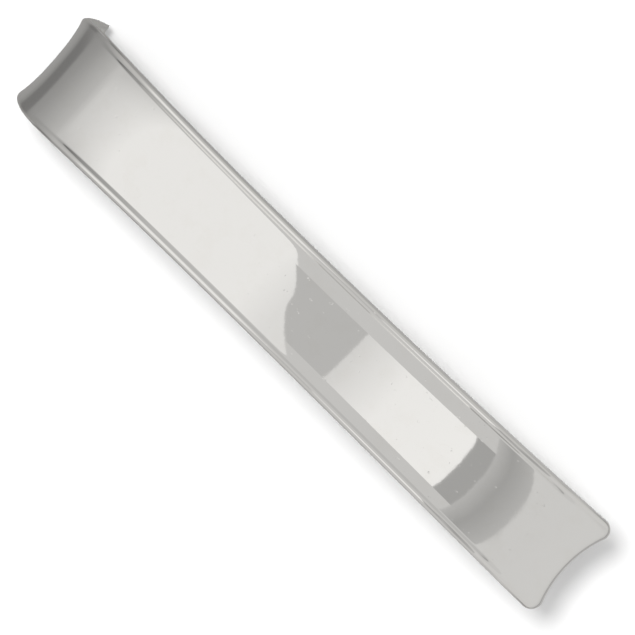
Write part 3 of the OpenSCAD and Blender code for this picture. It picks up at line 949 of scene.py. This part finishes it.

# Greys of the painted reflections, as the silver shows them. A fade is (share of its span, grey).
LEFT_GREYS = [(0.0, 0.745), (0.2, 0.79), (0.4, 0.95), (0.9, 0.95), (1.0, 0.90)]
RIGHT_GREYS = [(0.0, 0.86), (0.4, 0.96), (1.0, 0.97)]
SHADE_GREYS = [(0.0, 0.74), (0.4, 0.65), (1.0, 0.73)]
BACK_GREYS = [(0.0, 0.78), (0.4, 0.455), (0.6, 0.455), (1.0, 0.78)]
CEILING_GREYS = [(0.0, 0.58), (1.0, 0.80)]
# The floor as the silver mirrors it: painted shade, greyer than the white floor and darkest past the hood's
# end.
FLOOR_REFLECTION_SHADE_GREYS = [(0.0, 0.56), (1.0, 0.74)]
FLAG_GREY, STRIP_GREY, END_GREY = 0.745, 0.66, 0.826
FAR_GREY, NEAR_GREY, WALL_END_GREY = 0.75, 0.81, 0.42
SKY_GREYS = [(0.0, 0.13), (0.10, 0.17), (0.28, 0.45), (0.8, 0.8)]

# What turns a shown grey into a card's light: the rig's level, the view's curve and the silver's own colour
EXPOSURE, VIEW_LIFT, VIEW_POWER, SILVER_SHARE = 0.945, 0.055, 2.4, 0.95
WARM = 0.018
CARD_TINT = (1 + 0.7 * WARM, 1.0, 1 - 1.4 * WARM)


def light_for(grey):
    return ((grey * EXPOSURE + VIEW_LIFT) / (1 + VIEW_LIFT)) ** VIEW_POWER / SILVER_SHARE


def sheet_of(name, points):
    """A flat sheet of the studio, which isn't part of the clip."""
    sheet = to_object(name, mesh_from(name, points, [tuple(range(len(points)))]))
    return sheet


def level_corners(left, right, near, far, z):
    return [(left, near, z), (right, near, z), (right, far, z), (left, far, z)]


def wall_corners(one_end, other_end):
    return [(*one_end, WALL_FOOT), (*other_end, WALL_FOOT), (*other_end, WALL_TOP), (*one_end, WALL_TOP)]


def glow(name, greys, span=None, axis="X"):
    """A card's own light: one grey, or a fade of greys over a span of an axis."""
    net = Finish(name)
    if span:
        run = net.other(net.add("ShaderNodeSeparateXYZ", Vector=net.at), axis)
        light = light_for(net.ramp((run - span[0]) / (span[1] - span[0]), greys))
        colour = net.add("ShaderNodeVectorMath", {"operation": "SCALE"}, s0=CARD_TINT, s3=light)
        lamp = net.add("ShaderNodeEmission", Color=colour, Strength=1.0)
    else:
        lamp = net.add("ShaderNodeEmission", Color=(*CARD_TINT, 1), Strength=light_for(greys))
    net.end("ShaderNodeOutputMaterial", "Surface", lamp)
    return net.material


def card(name, points, material):
    """A glowing sheet that only mirrors see: it lights nothing and paints a reflection in the silver."""
    obj = sheet_of(name, points)
    obj.data.materials.append(material)
    obj.visible_camera = obj.visible_diffuse = obj.visible_shadow = obj.visible_transmission = False


def studio_floor():
    net = Finish("studio_floor")
    cloud = net.noise(net.at, 0.02, 2.0)
    net.finish(net.blend(cloud, (0.93, 0.93, 0.93), (0.95, 0.95, 0.95)), 0.7, cloud, 0.01, metallic=0.0)
    floor = sheet_of("studio_floor", level_corners(-ROOM, ROOM, -ROOM, ROOM, FLOOR_Z))
    floor.data.materials.append(net.material)
    # The white floor stays out of reflections. A glowing sheet just above it paints the floor's shade there
    # instead.
    floor.visible_glossy = False
    card("floor_mirrored", level_corners(-ROOM, ROOM, -ROOM, ROOM, MIRRORED_Z),
         glow("floor_mirrored", FLOOR_REFLECTION_SHADE_GREYS, FLOOR_FADE))


def overhead_rig():
    """Painted reflections overhead, glowing sheets that only mirrors see: a grey ceiling, darker past the
    hood's end; two plain diffusers end to end over the clip, a grey flag between them, a dark strip, a grey
    shade band and grey cards past the tip.
    """
    card("ceiling", level_corners(-CEILING_X, ROOM, -ROOM, ROOM, CEILING_Z),
         glow("ceiling", CEILING_GREYS, CEILING_FADE))
    start = -FLAG_LENGTH - LEFT_LENGTH
    for name, length, half, lean_in, lean_out, corner_r, z, greys in (
            ("left_diffuser", LEFT_LENGTH, WIDE_HALF, 0, 2 * FLAG_SLANT, CARD_CORNER_R, UPPER_CARD_Z,
             LEFT_GREYS),
            ("grey_flag", FLAG_LENGTH, NARROW_HALF, FLAG_SLANT, 0, 0, CARD_Z, FLAG_GREY),
            ("right_diffuser", RIGHT_LENGTH, NARROW_HALF, 0, 0, 0, CARD_Z, RIGHT_GREYS),
            ("dark_strip", STRIP_LENGTH, NARROW_HALF, 0, 0, 0, CARD_Z, STRIP_GREY),
            ("shade", SHADE_LENGTH, WIDE_HALF, 0, 0, 0, CARD_Z, SHADE_GREYS),
            ("end_card", END_LENGTH, WIDE_HALF, 0, 0, 0, CARD_Z, END_GREY)):
        near, far, end = RIG_Y - half, RIG_Y + half, start + length
        corners = [(start - lean_in, near), (end - lean_out, near),
                   (end + lean_out, far), (start + lean_in, far)]
        faded = isinstance(greys, list)
        card(name, [(x, y, z) for x, y in rounded(corners, [0, corner_r, corner_r, 0])],
             glow(name, greys, (start, end) if faded else None))
        start = end


def room_walls():
    """Plain walls round the studio, glowing sheets that only mirrors see: painted reflections, darker towards
    their ends and the back wall darker in its middle, which the rolled hood, the rims and the curled tip
    mirror.
    """
    card("back_wall", wall_corners((-WALL_X, -WALL_Y), (-WALL_X, WALL_Y)),
         glow("back_wall", BACK_GREYS, (-WALL_Y, WALL_Y), axis="Y"))
    for name, y, grey in (("far_wall", WALL_Y, FAR_GREY), ("near_wall", -WALL_Y, NEAR_GREY)):
        greys = [(0.0, WALL_END_GREY), (0.25, grey), (0.75, grey), (1.0, WALL_END_GREY)]
        card(name, wall_corners((-ROOM, y), (ROOM, y)), glow(name, greys, WALL_FADE))


def key_light():
    """One soft light, high above the hood."""
    lamp = bpy.data.lights.new("key", "AREA")
    lamp.shape, lamp.size, lamp.energy = "DISK", LAMP_SIZE * MM, LAMP_WATTS
    key = to_object("key", lamp)
    spot = Vector(LAMP_SPOT) * MM
    key.matrix_world = Matrix.Translation(spot) @ spot.to_track_quat("Z", "Y").to_matrix().to_4x4()
    key.visible_glossy = False


def studio_world():
    """Soft surroundings: white overhead, darker towards the horizon."""
    world = bpy.data.worlds.new("studio")
    world.use_nodes = True
    bpy.context.scene.world = world
    net = Net(world.node_tree)
    net.tree.nodes.clear()
    around = net.add("ShaderNodeTexCoord", out="Generated")
    up = net.other(net.add("ShaderNodeSeparateXYZ", Vector=around), "Z")
    grey = net.add("ShaderNodeValToRGB", {"stops": SKY_GREYS}, Fac=up)
    net.end("ShaderNodeOutputWorld", "Surface", net.add("ShaderNodeBackground", Color=grey, Strength=1.0))


studio_floor()
studio_world()
key_light()
overhead_rig()
room_walls()
